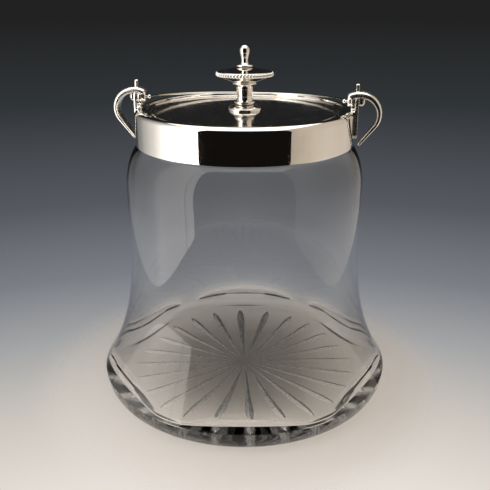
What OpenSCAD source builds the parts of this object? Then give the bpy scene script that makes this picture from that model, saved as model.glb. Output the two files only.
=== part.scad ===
// Glass biscuit jar with a plated collar, a lift-off lid with a turned knob, two scroll lugs and a
// folding wire handle. Millimetres, +Z up, origin at the centre of the foot the jar stands on.

/* [Glass jar] */
// Widest diameter, just above the foot
base_d = 150; // [140:1:170]
// Height of the widest line above the table
base_edge_h = 9.5; // [7:0.5:12]
// Width of the rounding between the widest line and the foot
foot_inset = 5; // [3:0.5:9]
// Diameter of the body above the flare
body_d = 116.4; // [112:0.2:122]
// Height at which the flare has died into the body
flare_h = 90; // [70:1:100]
// How quickly the flare dies out
flare_power = 3.1; // [2:0.1:4]
// Height at which the shoulder starts to turn in
shoulder_h = 106; // [102:1:108]
// Height of the rounded shoulder
shoulder_rise = 22.2; // [21.5:0.1:23]
// Outside diameter of the neck inside the collar
neck_d = 95.4; // [93:0.2:97]
// Height of the neck above the shoulder
neck_h = 10.8; // [9:0.1:14]
// Thickness of the wall
glass_wall = 3.2; // [2.6:0.1:4]
// Thickness of the floor
floor_t = 6; // [5:0.5:9]
// Rounding between the wall and the floor
floor_fillet = 3.5; // [3:0.5:6]
// Distance of the floor's six flats inside the widest line
floor_inset = 7.5; // [6.5:0.5:11]
// Height at which the six flats have died into the round wall
flats_top_h = 44; // [36:1:60]

/* [Star cut under the foot] */
// Number of rays
ray_count = 24; // [12:1:32]
// Width of the flat ring outside the rays, which the jar stands on
foot_land = 6; // [4:0.5:12]
// Radius at which a ray starts
ray_start_r = 2.5; // [2:0.5:6]
// Distance from a ray's outer end to its widest place
ray_belly = 18; // [10:1:34]
// Greatest width of a ray
ray_w = 4.8; // [2:0.1:6]
// Greatest depth of a ray
ray_depth = 1.6; // [0.8:0.1:2.5]
// Turn of the star against the floor's flats
ray_turn = 2.5; // [0:0.5:15]
// Turn of the glass, with its flats and star, against the line of the lugs
glass_turn = 9; // [0:0.5:30]

/* [Collar] */
// Thickness of the plaster between the neck and the band
cement_t = 4.1; // [3.5:0.1:6]
// Gap between the band's lower edge and the shoulder
band_gap = 0.1; // [0.05:0.05:0.5]
// Rise of the top of the collar above the neck
collar_rise = 4; // [3.6:0.1:7]
// Rounding of the band into its top
collar_round = 1.9; // [1.2:0.1:2.4]
// Thickness of the sheet
sheet_t = 0.8; // [0.6:0.05:1]
// Fall of the dished top towards the lid
dish_fall = 1.1; // [0.6:0.1:1.6]
// Width of the dished top, from the band's outside to the step round the lid
dish_w = 7.6; // [6.6:0.1:8]
// Depth of the ledge below the step's top
step_depth = 1.3; // [1.1:0.1:2]
// Gap between the sleeve and the inside of the neck
sleeve_gap = 1.2; // [0.6:0.1:3]
// Length of the sleeve below the ledge
sleeve_l = 9; // [5:0.5:12]

/* [Lid] */
// Thickness of the lid plate
lid_t = 1; // [0.8:0.1:1.2]
// Gap between the lid's edge and the step
lid_gap = 0.3; // [0.2:0.05:0.6]
// Gap between the lid's sleeve and the collar's sleeve
lid_sleeve_gap = 0.4; // [0.3:0.05:0.8]
// Length of the lid's sleeve
lid_sleeve_l = 6.5; // [4:0.5:8]

/* [Knob] */
// Diameter of the domed foot
knob_foot_d = 15.6; // [13:0.2:20]
// Height of the domed foot
knob_foot_h = 3; // [2:0.1:4]
// Diameter of the waisted stem at its narrowest
knob_stem_d = 7; // [6:0.1:9]
// Height of the stem
knob_stem_h = 8; // [7.4:0.2:12]
// Diameter of the dished disc over its beads
knob_disc_d = 28.4; // [24:0.2:34]
// Height of the disc from its neck to the middle of its beads
knob_disc_rise = 6.2; // [5.6:0.1:8]
// Rise of the disc's top from its rim to its centre
knob_crown = 2.3; // [1.2:0.1:3]
// Number of beads round the disc
bead_count = 54; // [36:1:64]
// Height of the finial
finial_h = 9.9; // [8:0.1:12]
// Diameter of the finial's ball
finial_ball_d = 4.9; // [4:0.1:5.6]
// Diameter of the finial's base disc
finial_base_d = 8.2; // [7:0.1:10]
// Diameter of the stud through the knob
stud_d = 2.4; // [2:0.1:2.6]
// Width across the flats of the nut
nut_flats = 5.5; // [5:0.1:7]
// Diameter of the washer under the lid
washer_d = 12; // [9:0.5:16]

/* [Lugs] */
// Height of the handle's pivot above the collar
pivot_rise = 4; // [3.6:0.1:5.5]
// Thickness of the outer plate of a lug
plate_t = 1.4; // [1:0.1:2]
// Width of the outer plate
plate_w = 8; // [7:0.2:10]
// Drop of the plate's rounded foot below the top of the collar
plate_drop = 13.5; // [11:0.5:15]
// Rise of the plate's pointed top above the pivot
plate_spike = 8; // [6.6:0.2:11]
// Thickness of the eye block between the plate and the scroll
eye_t = 1.9; // [1.5:0.1:2.2]
// Width of the eye block
eye_w = 6.4; // [5.6:0.2:8]
// Radius of the scroll's outer bend
scroll_r = 8.9; // [7.5:0.1:10]
// Width of the scroll, front to back
scroll_w = 7; // [5:0.2:9]
// Half thickness of the scroll at its inner end
scroll_head = 1.9; // [1.6:0.05:2.2]
// Half thickness of the scroll at its tail
scroll_tail = 0.75; // [0.6:0.05:1]

/* [Folding handle] */
// Diameter of the wire
wire_d = 2.4; // [2:0.1:2.6]
// Distance of the folded bow inside the crest of the collar
bow_inset = 3.5; // [3.1:0.1:3.8]
// How far the ball at each end of the bow stands out from the wire
ball_over = 0.25; // [0.15:0.05:0.4]
// Gap between that ball and the lug
ball_gap = 0.15; // [0.1:0.05:0.4]
// Gap between the folded bow and the collar
bow_rest_gap = 0.25; // [0.15:0.05:0.5]
// Running clearance of the wire in its holes, on the radius
pin_clearance = 0.05; // [0.02:0.01:0.1]
// Diameter of the rivet head outside each lug
head_d = 4.2; // [3.6:0.1:5.4]
// Length of the rivet head
head_l = 2.6; // [1.8:0.1:4]

/* [Hidden] */
$fn = 96;

glass = [0.82, 0.88, 0.87, 0.45];
silver = [0.86, 0.85, 0.82];
plaster = [0.90, 0.88, 0.82];
brass = [0.80, 0.68, 0.40];
far = 200;                                   // larger than any cut needs
steps = 10;                                  // points on a rounded stretch

base_r = base_d / 2;
body_r = body_d / 2;
neck_r = neck_d / 2;
foot_r = base_r - foot_inset;
floor_r = base_r - floor_inset;              // middle of a flat
ray_r = foot_r - foot_land;
ray_belly_r = ray_r - ray_belly;
shoulder_top_h = shoulder_h + shoulder_rise;
neck_top_h = shoulder_top_h + neck_h;
collar_r = neck_r + cement_t + sheet_t;
band_seat = (cement_t - band_gap) / (body_r - neck_r);
collar_bottom_h = shoulder_h + shoulder_rise * sqrt(1 - band_seat * band_seat);
collar_top_h = neck_top_h + collar_rise;
step_r = collar_r - dish_w;
crest_r = collar_r - collar_round;           // where the collar is highest
sleeve_r = neck_r - glass_wall - sleeve_gap - sheet_t;
bow_r = crest_r - bow_inset;
ball_d = wire_d + 2 * ball_over;
pivot_h = collar_top_h + pivot_rise;
plate_foot_h = collar_top_h - plate_drop;
plate_tip_h = pivot_h + plate_spike;
dish_h = collar_top_h - dish_fall;           // top of the step round the lid
ledge_h = dish_h - step_depth;               // what the lid rests on
lid_top_h = ledge_h + lid_t;
plate_in_r = collar_r - 0.15;                // inner face of the plate, cut to the band's curve
plate_out_r = plate_in_r + 0.15 + plate_t;
eye_out_r = plate_in_r;                      // the eye block stands against the plate
eye_in_r = eye_out_r - eye_t;
scroll_in_r = bow_r + ball_d / 2 + ball_gap;
head_room = 0.25;                            // between a rivet head and its pocket in the scroll
stem_base_h = lid_top_h + knob_foot_h;
disc_base_h = stem_base_h + knob_stem_h;
bead_h = disc_base_h + knob_disc_rise;
finial_base_h = bead_h + knob_crown + 0.8;
bead_r = 1.1;                                // radius of one bead
disc_r = knob_disc_d / 2 - bead_r;           // rim that carries the beads

// Points on an ellipse from angle a0 to a1
function arc(c, a, b, a0, a1, n = steps) =
    [for (i = [0:n]) let (t = a0 + (a1 - a0) * i / n) [c[0] + a * cos(t), c[1] + b * sin(t)]];
// Radius of the glass outside between the widest line and the body
function flare_r(z) = body_r + (base_r - body_r) * pow(max(0, 1 - (z - base_edge_h) / (flare_h - base_edge_h)), flare_power);
// Height of the dished top at radius r
function dish_z(r) = dish_h + (r - step_r) / (crest_r - step_r) * dish_fall;

// ---- glass ----
shoulder_pts = arc([neck_r, shoulder_h], body_r - neck_r, shoulder_rise, 0, 84, 12);
fillet_h = floor_t + floor_fillet;
flare_steps = 16;

module jar_outside() {
    rotate_extrude() polygon(concat(
        [[0, 0], [foot_r, 0]],
        arc([foot_r, base_edge_h], foot_inset, base_edge_h, -80, 0),
        [for (i = [1:flare_steps]) let (z = base_edge_h + (flare_h - base_edge_h) * i / flare_steps) [flare_r(z), z]],
        shoulder_pts,
        [[neck_r, shoulder_top_h], [neck_r, neck_top_h], [0, neck_top_h]]));
}

module jar_inside() {
    fillet_r = flare_r(fillet_h) - glass_wall;
    intersection() {
        rotate_extrude() polygon(concat(
            [[0, floor_t]],
            arc([fillet_r - floor_fillet, fillet_h], floor_fillet, floor_fillet, -90, 0),
            [for (i = [1:flare_steps]) let (z = fillet_h + (flare_h - fillet_h) * i / flare_steps)
                [flare_r(z) - glass_wall, z]],
            [for (p = shoulder_pts) p - [glass_wall, 0]],
            [[neck_r - glass_wall, shoulder_top_h], [neck_r - glass_wall, neck_top_h + 1], [0, neck_top_h + 1]]));
        floor_hexagon();
    }
}

// Six planes that lean in from the floor's flats and meet the round wall at flats_top_h
module floor_hexagon() {
    lean = atan((floor_r - (flare_r(flats_top_h) - glass_wall)) / (flats_top_h - floor_t));
    difference() {
        translate([0, 0, floor_t - 1]) cylinder(r = base_r, h = neck_top_h);
        for (k = [0:5]) rotate(60 * k + 30)
            translate([floor_r, -far / 2, floor_t]) rotate([0, -min(lean, 20), 0])
                translate([0, 0, -20]) cube([far / 2, far, 20 + (flats_top_h - floor_t) * 1.1]);
    }
}

// One mitre-cut ray: a long kite, deepest and widest at its belly, cut a little past the foot's face
module ray() {
    past = 0.05;
    grow = 1 + past / ray_depth;
    polyhedron(
        points = [[ray_belly_r - (ray_belly_r - ray_start_r) * grow, 0, -past],
                  [ray_belly_r, -ray_w / 2 * grow, -past],
                  [ray_belly_r + (ray_r - ray_belly_r) * grow, 0, -past],
                  [ray_belly_r, ray_w / 2 * grow, -past],
                  [ray_belly_r, 0, ray_depth]],
        faces = [[0, 4, 1], [1, 4, 2], [2, 4, 3], [3, 4, 0], [0, 1, 2, 3]]);
}

module glass_jar() color(glass) rotate(glass_turn) difference() {
    jar_outside();
    jar_inside();
    for (k = [0:ray_count - 1]) rotate(-90 + ray_turn + 360 / ray_count * k) ray();
}

// ---- collar ----
module collar_band() color(silver) rotate_extrude() polygon(concat(
    [[collar_r - sheet_t, collar_bottom_h], [collar_r, collar_bottom_h]],
    arc([crest_r, collar_top_h - collar_round], collar_round, collar_round, 0, 90),
    arc([step_r + sheet_t / 2, dish_h - sheet_t / 2], sheet_t / 2, sheet_t / 2, 90, 180, 4),
    [[step_r, ledge_h - sheet_t], [step_r + sheet_t, ledge_h - sheet_t], [step_r + sheet_t, dish_h - sheet_t]],
    arc([crest_r, collar_top_h - collar_round], collar_round - sheet_t, collar_round - sheet_t, 90, 0)));

module collar_sleeve() color(silver) rotate_extrude() {
    translate([sleeve_r, ledge_h - sheet_t]) square([step_r - sleeve_r, sheet_t]);
    translate([sleeve_r, ledge_h - sheet_t - sleeve_l]) square([sheet_t, sleeve_l]);
}

// Plaster that beds the collar on the neck
module collar_cement() color(plaster) {
    cement_low = shoulder_top_h + 0.6;
    cement_top = ledge_h - sheet_t;
    rotate_extrude() polygon([[neck_r, cement_low], [collar_r - sheet_t, cement_low],
        [collar_r - sheet_t, cement_top], [neck_r - glass_wall, cement_top],
        [neck_r - glass_wall, neck_top_h], [neck_r, neck_top_h]]);
}

// Everything under the collar's skin, to seat the lugs on it
module collar_body() rotate_extrude() polygon(concat(
    [[0, 0], [collar_r, 0]],
    arc([crest_r, collar_top_h - collar_round], collar_round, collar_round, 0, 90),
    [[step_r, dish_h], [0, dish_h]]));

// ---- lugs, drawn for the right side (+X) ----
module pin_hole() translate([scroll_in_r - 5, 0, pivot_h]) rotate([0, 90, 0])
    cylinder(d = wire_d + 2 * pin_clearance, h = 20);

// Leaf-shaped plate soldered to the band, rising to a point
module lug_plate() color(silver) {
    waist_h = pivot_h + 4.2;
    difference() {
        translate([plate_in_r, 0, 0]) rotate([90, 0, 90]) linear_extrude(height = plate_out_r - plate_in_r)
            polygon(concat(
                arc([0, plate_foot_h + plate_w / 2], plate_w / 2, plate_w / 2, -180, 0, 16),
                arc([0, pivot_h - 0.5], plate_w / 2, waist_h - pivot_h + 0.5, 0, 72, 8),
                [[1.15, waist_h + 0.4], [0.75, plate_tip_h - 1.2]],
                arc([0, plate_tip_h - 1.2], 0.75, 1.2, 0, 180, 8),
                [[-1.15, waist_h + 0.4]],
                arc([0, pivot_h - 0.5], plate_w / 2, waist_h - pivot_h + 0.5, 108, 180, 8)));
        collar_body();
        pin_hole();
    }
}

// Eye block that stands on the collar and carries the wire's end
module eye_block() translate([eye_in_r, 0, 0]) rotate([90, 0, 90]) linear_extrude(height = eye_t) union() {
    translate([0, pivot_h]) circle(d = eye_w);
    difference() {
        translate([-eye_w * 0.7, dish_h]) square([eye_w * 1.4, pivot_h - dish_h]);
        for (s = [-1, 1]) translate([s * (eye_w * 0.7 + 0.5), pivot_h - 0.4])
            scale([0.62, 1]) circle(r = pivot_h - collar_top_h - 0.8);
    }
}

module lug_eye() color(silver) difference() {
    eye_block();
    collar_body();
    pin_hole();
}

// Centre line of the scroll: over the eye, round the outer bend and straight down to the plate
crown_h = pivot_h + 3.1;                     // centre line where it crosses the plate
head_x = scroll_in_r + 0.7;
bend_x = plate_out_r + 0.9;                  // centre of the outer bend
tail_lean = 38;
tail_l = (bend_x + scroll_r * cos(tail_lean) - plate_out_r - scroll_tail) / sin(tail_lean);
scroll_line = concat(
    arc([bend_x, pivot_h + 1.2], bend_x - head_x, crown_h - pivot_h - 1.2, 172, 92, 9),
    arc([bend_x, crown_h - scroll_r], scroll_r, scroll_r, 90, -tail_lean, 20),
    [for (i = [1:4]) [bend_x + scroll_r * cos(tail_lean) - tail_l * i / 4 * sin(tail_lean),
                      crown_h - scroll_r - scroll_r * sin(tail_lean) - tail_l * i / 4 * cos(tail_lean)]]);

// Outline of a strip of changing thickness along a line of points
function side(line, i, s) =
    let (n = len(line) - 1, a = line[max(0, i - 1)], b = line[min(n, i + 1)], d = (b - a) / norm(b - a),
         t = i / n, half = scroll_tail + (scroll_head - scroll_tail) * pow(1 - t, 1.5))
    line[i] + s * half * [-d[1], d[0]];

module lug_scroll() color(silver) {
    last = len(scroll_line) - 1;
    difference() {
        intersection() {
            rotate([90, 0, 0]) linear_extrude(height = scroll_w, center = true) polygon(concat(
                [for (i = [0:last]) side(scroll_line, i, 1)],
                [for (i = [last:-1:0]) side(scroll_line, i, -1)]));
            scroll_taper();
        }
        // slot for the plate
        translate([plate_in_r - 0.05, -1.6, pivot_h]) cube([plate_out_r - plate_in_r + 0.1, 3.2, 12]);
        translate([plate_in_r - 0.05, -plate_w / 2 - 0.2, pivot_h - 30])
            cube([plate_out_r - plate_in_r + 0.1, plate_w + 0.4, 34]);
        // seat on the eye block, pocket for the rivet head and room for the wire that swings past
        eye_block();
        translate([plate_out_r - 0.1, 0, pivot_h]) rotate([0, 90, 0])
            cylinder(d = head_d + 2 * head_room, h = head_l + 0.4 + head_room);
        translate([0, -scroll_w, pivot_h - 2 * wire_d]) cube([scroll_in_r + 0.1, 2 * scroll_w, 5 * wire_d]);
        collar_body();
        pin_hole();
    }
    // round boss at the scroll's inner end, against the eye block
    difference() {
        translate([scroll_in_r, 0, pivot_h]) rotate([0, 90, 0]) cylinder(d = 5, h = eye_in_r - scroll_in_r);
        pin_hole();
    }
}

// The scroll narrows from its crown to its tail
module scroll_taper() translate([0, 0, 0]) rotate([90, 0, 90]) linear_extrude(height = far) polygon([
    [-scroll_w / 2, crown_h + 10], [-scroll_w / 2, crown_h - scroll_r], [-scroll_w / 3.4, plate_foot_h - 10],
    [scroll_w / 3.4, plate_foot_h - 10], [scroll_w / 2, crown_h - scroll_r], [scroll_w / 2, crown_h + 10]]);

// ---- folding handle ----
rest_h = dish_z(bow_r) + wire_d / 2 + bow_rest_gap;
fold = asin((pivot_h - rest_h) / bow_r);     // slope of the bow when it lies on the collar

module pose_bow() translate([0, 0, pivot_h]) rotate([-fold, 0, 0]) children();

// Half a ring of wire with a ball at each end, from which the pivot runs outwards
module bow_handle() color(silver) pose_bow() {
    intersection() {
        rotate_extrude() translate([bow_r, 0]) circle(d = wire_d, $fn = 24);
        translate([-far / 2, 0, -wire_d]) cube([far, far / 2, 2 * wire_d]);
    }
    for (s = [0, 1]) mirror([s, 0, 0]) translate([bow_r, 0, 0]) {
        sphere(d = ball_d, $fn = 32);
        rotate([0, 90, 0]) cylinder(d = wire_d, h = plate_out_r + 0.3 - bow_r, $fn = 24);
    }
}

module rivet_head() color(silver) translate([plate_out_r + 0.3, 0, pivot_h]) rotate([0, 90, 0])
    rotate_extrude() polygon(concat(
        [[0, 0], [head_d / 2, 0]],
        arc([0, head_l * 0.45], head_d / 2, head_l * 0.55, 0, 90)));

// ---- lid ----
module lid_plate() color(silver) difference() {
    rotate_extrude() polygon(concat([[0, ledge_h]], [[step_r - lid_gap, ledge_h]],
        arc([step_r - lid_gap - lid_t / 2, ledge_h + lid_t / 2], lid_t / 2, lid_t / 2, 0, 90, 5),
        [[0, lid_top_h]]));
    translate([0, 0, ledge_h - 1]) cylinder(d = stud_d, h = lid_t + 2);
}

module lid_sleeve() color(silver) difference() {
    translate([0, 0, ledge_h - lid_sleeve_l]) cylinder(r = sleeve_r - lid_sleeve_gap, h = lid_sleeve_l);
    translate([0, 0, ledge_h - lid_sleeve_l - 1])
        cylinder(r = sleeve_r - lid_sleeve_gap - sheet_t, h = lid_sleeve_l + 2);
}

// ---- knob, all turned about the stud ----
module turned(points) rotate_extrude() difference() {
    polygon(points);
    translate([-1, 0]) square([1 + stud_d / 2, far]);
}

module knob_foot() color(silver) turned(concat(
    [[0, lid_top_h], [knob_foot_d / 2 - 0.4, lid_top_h], [knob_foot_d / 2, lid_top_h + 0.7]],
    arc([knob_foot_d / 2 - 2.6, lid_top_h + 0.9], 2.6, knob_foot_h - 1.3, 0, 90, 8),
    [[knob_stem_d / 2 + 0.4, lid_top_h + knob_foot_h - 0.8], [knob_stem_d / 2, stem_base_h], [0, stem_base_h]]));

module knob_stem() color(silver) {
    ring_r = knob_stem_d / 2 + 1.4;
    neck = knob_stem_d / 2 + 0.35;
    turned(concat(
        [[0, stem_base_h], [ring_r - 0.7, stem_base_h]],
        arc([ring_r - 0.7, stem_base_h + 0.8], 0.7, 0.8, -60, 70, 6),
        arc([ring_r + 0.4, stem_base_h + 4.0], ring_r + 0.4 - knob_stem_d / 2, 2.5, 250, 180, 7),
        [[neck, stem_base_h + 5.2], [neck, disc_base_h - 0.7], [neck + 0.3, disc_base_h - 0.5],
         [neck + 0.3, disc_base_h], [0, disc_base_h]]));
}

module knob_disc() color(silver) {
    flange_r = knob_stem_d / 2 + 2.4;
    turned(concat(
        [[0, disc_base_h], [knob_stem_d / 2 + 0.65, disc_base_h], [flange_r - 0.5, disc_base_h + 1.4]],
        arc([flange_r - 0.5, disc_base_h + 1.9], 0.5, 0.5, -60, 80, 5),
        arc([flange_r - 0.9, bead_h - 0.6], disc_r - flange_r + 0.9, bead_h - 0.6 - disc_base_h - 3.0, -76, -8, 10),
        [[disc_r, bead_h - bead_r * 0.7], [disc_r, bead_h + bead_r * 0.75], [disc_r - 0.8, bead_h + bead_r * 0.75]],
        [for (i = [1:6]) let (t = i / 6) [(disc_r - 0.8) * (1 - t) + (finial_base_d / 2 - 1.2) * t,
            bead_h + bead_r * 0.75 + (finial_base_h - bead_h - bead_r * 0.75) * pow(t, 0.9)]],
        [[0, finial_base_h]]));
}

module knob_beading() color(silver) difference() {
    union() {
        rotate_extrude() translate([disc_r + 0.15, bead_h]) square([bead_r * 1.1, bead_r], center = true);
        for (k = [0:bead_count - 1]) rotate(360 / bead_count * k)
            translate([disc_r + 0.1, 0, bead_h]) cylinder(r = min(bead_r, PI * disc_r / bead_count) * 0.92,
                                                       h = bead_r * 1.5, center = true, $fn = 16);
    }
    translate([0, 0, bead_h - 5]) cylinder(r = disc_r, h = 10);
}

module knob_finial() color(silver) {
    base_t = 1.1;
    ball_r = finial_ball_d / 2;
    ball_h = finial_base_h + finial_h - ball_r;
    difference() {
        rotate_extrude() polygon(concat(
            [[0, finial_base_h]],
            arc([finial_base_d / 2 - base_t / 2, finial_base_h + base_t / 2], base_t / 2, base_t / 2, -90, 90, 8),
            [[2.1, finial_base_h + base_t], [2.0, finial_base_h + base_t + 0.5]],
            [for (i = [0:6]) let (t = i / 6) [1.62 + (ball_r - 1.72) * t * t,
                finial_base_h + base_t + 0.9 + (ball_h - 0.9 - finial_base_h - base_t - 0.9) * t]],
            arc([0, ball_h], ball_r, ball_r, -14, 90, 12)));
        translate([0, 0, finial_base_h - 1]) cylinder(d = stud_d, h = 4);
    }
}

stud_low = ledge_h - 6;
module knob_stud() color(brass) translate([0, 0, stud_low]) cylinder(d = stud_d, h = finial_base_h + 3 - stud_low);

washer_t = 0.8;
module knob_washer() color(brass) difference() {
    translate([0, 0, ledge_h - washer_t]) cylinder(d = washer_d, h = washer_t);
    translate([0, 0, ledge_h - 2]) cylinder(d = stud_d, h = 4);
}

nut_h = 2.4;
module knob_nut() color(brass) difference() {
    translate([0, 0, ledge_h - washer_t - nut_h]) cylinder(d = nut_flats / cos(30), h = nut_h, $fn = 6);
    translate([0, 0, ledge_h - 8]) cylinder(d = stud_d, h = 10);
}

module both_sides(left) mirror([left ? 1 : 0, 0, 0]) children();

glass_jar();
collar_band();
collar_sleeve();
collar_cement();
both_sides(true) lug_plate();  // lug_plate_left
both_sides(false) lug_plate();  // lug_plate_right
both_sides(true) lug_eye();  // lug_eye_left
both_sides(false) lug_eye();  // lug_eye_right
both_sides(true) lug_scroll();  // lug_scroll_left
both_sides(false) lug_scroll();  // lug_scroll_right
bow_handle();
both_sides(true) rivet_head();  // rivet_head_left
both_sides(false) rivet_head();  // rivet_head_right
lid_plate();
lid_sleeve();
knob_foot();
knob_stem();
knob_disc();
knob_beading();
knob_finial();
knob_stud();
knob_washer();
knob_nut();
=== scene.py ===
import math

import bpy
import numpy as np
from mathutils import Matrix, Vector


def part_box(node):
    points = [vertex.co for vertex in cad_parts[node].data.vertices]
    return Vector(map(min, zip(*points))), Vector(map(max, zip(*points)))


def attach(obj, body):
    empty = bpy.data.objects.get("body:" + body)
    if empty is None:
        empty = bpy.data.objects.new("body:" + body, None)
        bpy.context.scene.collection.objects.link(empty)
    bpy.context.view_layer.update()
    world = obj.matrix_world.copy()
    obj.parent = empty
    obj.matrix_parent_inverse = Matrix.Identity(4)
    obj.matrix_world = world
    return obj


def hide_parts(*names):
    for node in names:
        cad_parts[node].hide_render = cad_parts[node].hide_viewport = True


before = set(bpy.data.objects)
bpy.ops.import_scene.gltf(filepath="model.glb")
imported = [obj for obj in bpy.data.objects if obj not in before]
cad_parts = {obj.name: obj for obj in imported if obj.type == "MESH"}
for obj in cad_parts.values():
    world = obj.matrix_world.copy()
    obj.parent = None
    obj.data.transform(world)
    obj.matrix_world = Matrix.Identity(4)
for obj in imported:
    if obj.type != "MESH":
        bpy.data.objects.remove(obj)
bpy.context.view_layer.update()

mm = 0.001


# shapes: every surface is an array of rows and columns of points, in millimetres

def arcPoints(centre, radii, fromDeg, toDeg, count):
    # an ellipse's stretch: centre + (a cos t, b sin t) for evenly spaced angles t
    t = np.radians(np.linspace(fromDeg, toDeg, count))
    return np.stack([centre[0] + radii[0] * np.cos(t), centre[1] + radii[1] * np.sin(t)], 1)


def linePoints(start, end, count):
    # straight stretch, both ends included
    t = np.linspace(0, 1, count)[:, None]
    return np.array(start, float) * (1 - t) + np.array(end, float) * t


def curvePoints(knots, count):
    # a smooth curve through the knots: each coordinate is a cubic Hermite blend with slopes from the
    # knot's neighbours, sampled evenly between knots
    k = np.array(knots, float)
    slope = np.gradient(k, axis=0)
    t = np.linspace(0, len(k) - 1, count)
    i = np.minimum(t.astype(int), len(k) - 2)
    u = (t - i)[:, None]
    return ((2 * u**3 - 3 * u**2 + 1) * k[i] + (u**3 - 2 * u**2 + u) * slope[i]
            + (3 * u**2 - 2 * u**3) * k[i + 1] + (u**3 - u**2) * slope[i + 1])


def turned(profile, columns=192):
    # profile (r, z) carried round the z axis: (r cos t, r sin t, z)
    t = np.radians(np.arange(columns) * 360 / columns)
    r, z = profile[:, :1], profile[:, 1:]
    return np.stack([r * np.cos(t), r * np.sin(t), z + 0 * t], -1)


def gridFaces(points, wrapRows=False, poles=(False, False), caps=False):
    # one face between each pair of neighbouring rows and columns; columns always wrap round, a pole
    # row counts as one point, and caps close the first and last rows with one face each
    rows, cols = points.shape[:2]
    index = np.arange(rows * cols).reshape(rows, cols)
    for end, isPole in zip((0, -1), poles):
        if isPole:
            index[end] = index[end, 0]
    if wrapRows:
        index = np.vstack([index, index[:1]])
    low, high = index[:-1], index[1:]
    quads = np.stack([low, np.roll(low, -1, 1), np.roll(high, -1, 1), high], -1).reshape(-1, 4)
    foldedLow, foldedHigh = quads[:, 0] == quads[:, 1], quads[:, 2] == quads[:, 3]
    faces = quads[~foldedLow & ~foldedHigh].tolist()
    faces += quads[foldedLow][:, 1:].tolist() + quads[foldedHigh][:, :3].tolist()
    if caps:
        faces += [index[0, ::-1].tolist(), index[-1].tolist()]
    return points.reshape(-1, 3), faces


def signedVolume(verts, faces):
    # sum over the fan triangles of each face of a . (b x c) / 6
    tris = np.array([(f[0], f[i], f[i + 1]) for f in faces for i in range(1, len(f) - 1)])
    a, b, c = verts[tris[:, 0]], verts[tris[:, 1]], verts[tris[:, 2]]
    return float(np.einsum("ij,ij->i", a, np.cross(b, c)).sum() / 6)


def makePiece(name, parts, body, nodes, material, sharpDeg=38, attributes=None):
    # joins closed parts into one mesh in metres, turns every part's faces outwards and rides it on a body
    allVerts, allFaces, start = [], [], 0
    for verts, faces in parts:
        if signedVolume(verts, faces) < 0:
            faces = [f[::-1] for f in faces]
        allVerts.append(verts)
        allFaces += [[i + start for i in f] for f in faces]
        start += len(verts)
    verts = np.vstack(allVerts) * mm
    used, flat = np.unique(np.concatenate([np.array(f) for f in allFaces]), return_inverse=True)
    cuts = np.cumsum([len(f) for f in allFaces])[:-1]
    mesh = bpy.data.meshes.new(name)
    mesh.from_pydata(verts[used].tolist(), [], [f.tolist() for f in np.split(flat, cuts)])
    mesh.polygons.foreach_set("use_smooth", np.ones(len(mesh.polygons), bool))
    mesh.set_sharp_from_angle(angle=math.radians(sharpDeg))
    for key, values in (attributes or {}).items():
        layer = mesh.attributes.new(key, "FLOAT", "POINT")
        layer.data.foreach_set("value", values[used].astype(np.float32))
    mesh.materials.append(material)
    piece = bpy.data.objects.new(name, mesh)
    bpy.context.scene.collection.objects.link(piece)
    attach(piece, body)
    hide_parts(*nodes)
    return piece


def nodeBox(node):
    # a CAD node's lowest and highest corner in millimetres
    low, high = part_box(node)
    return np.array(low) / mm, np.array(high) / mm


def mirrored(points):
    # the same surface on the other side of the jar
    return points * np.array([-1, 1, 1])


# materials: helpers for shader nodes, then one function for each kind of finish

def newMaterial(name):
    # a material with its node tree and its Principled shader
    material = bpy.data.materials.new(name)
    material.use_nodes = True
    tree = material.node_tree
    shader = tree.nodes["Principled BSDF"]
    return material, tree, shader


def addNode(tree, kind, inputs=None, **settings):
    # a node with its settings; each input is either another node's output or a plain value
    node = tree.nodes.new(kind)
    for key, value in settings.items():
        setattr(node, key, value)
    for key, value in (inputs or {}).items():
        if hasattr(value, "is_linked"):
            tree.links.new(value, node.inputs[key])
        else:
            node.inputs[key].default_value = value
    return node


def objectCoordinates(tree, scale=(1, 1, 1), turn=(0, 0, 0)):
    # the place on the piece in metres, stretched and turned for a pattern
    coord = addNode(tree, "ShaderNodeTexCoord")
    mapping = addNode(tree, "ShaderNodeMapping",
                      {"Vector": coord.outputs["Object"], "Scale": scale, "Rotation": turn})
    return mapping.outputs["Vector"]


def noise(tree, vector, scale, detail=3.0, roughness=0.55):
    # soft clouds between 0 and 1
    inputs = {"Vector": vector, "Scale": scale, "Detail": detail, "Roughness": roughness}
    return addNode(tree, "ShaderNodeTexNoise", inputs).outputs["Fac"]


def remap(tree, value, fromLow, fromHigh, toLow, toHigh):
    # one range of values stretched onto another, held at its ends
    return addNode(tree, "ShaderNodeMapRange", {"Value": value, "From Min": fromLow, "From Max": fromHigh,
                                                "To Min": toLow, "To Max": toHigh}).outputs["Result"]


def combine(tree, operation, a, b):
    # one sum, product or larger of two values
    return addNode(tree, "ShaderNodeMath", {0: a, 1: b}, operation=operation).outputs[0]


def mixColor(tree, factor, a, b):
    # from colour a at 0 to colour b at 1
    node = addNode(tree, "ShaderNodeMix", data_type="RGBA")
    tree.links.new(factor, node.inputs[0])
    for socket, value in ((node.inputs[6], a), (node.inputs[7], b)):
        if hasattr(value, "is_linked"):
            tree.links.new(value, socket)
        else:
            socket.default_value = value
    return node.outputs[2]


def colorRamp(tree, value, stops):
    # a gradient read at the value; each stop is (position, (red, green, blue))
    ramp = addNode(tree, "ShaderNodeValToRGB", {"Fac": value})
    while len(ramp.color_ramp.elements) < len(stops):
        ramp.color_ramp.elements.new(0.5)
    for element, (position, color) in zip(ramp.color_ramp.elements, stops):
        element.position, element.color = position, (*color, 1)
    return ramp.outputs["Color"]


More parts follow.
